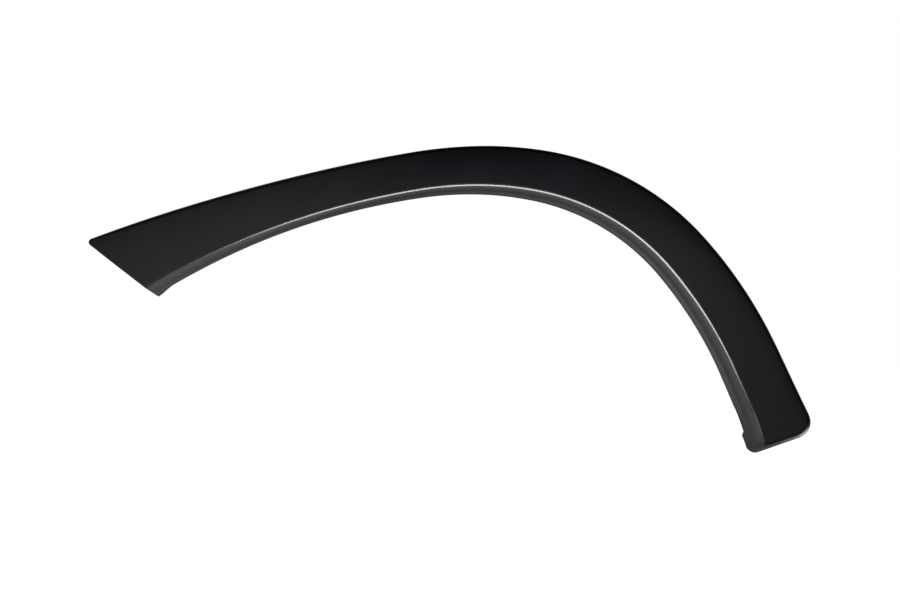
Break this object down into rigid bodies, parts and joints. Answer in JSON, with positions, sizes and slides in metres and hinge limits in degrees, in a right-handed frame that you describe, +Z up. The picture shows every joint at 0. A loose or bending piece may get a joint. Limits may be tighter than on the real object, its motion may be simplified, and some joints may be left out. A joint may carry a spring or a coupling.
{
  "type": "wheel arch trim",
  "caption": "Curved plastic wheel arch trim with a broad face, a rounded crease, a return flange on the wheel side, a slanted pointed front end and a closed rounded foot.",
  "frame": {"origin": "middle of the clip seat at the crown, on the side that faces the car body", "axes": "+X along the car towards the foot, +Y towards the car body, +Z up"},
  "size_m": [0.9132, 0.0496, 0.3862],
  "materials": {
    "arch_trim": "satin"
  },
  "bodies": {
    "root": {"arch_trim": "arch_trim"}
  },
  "joints": []
}
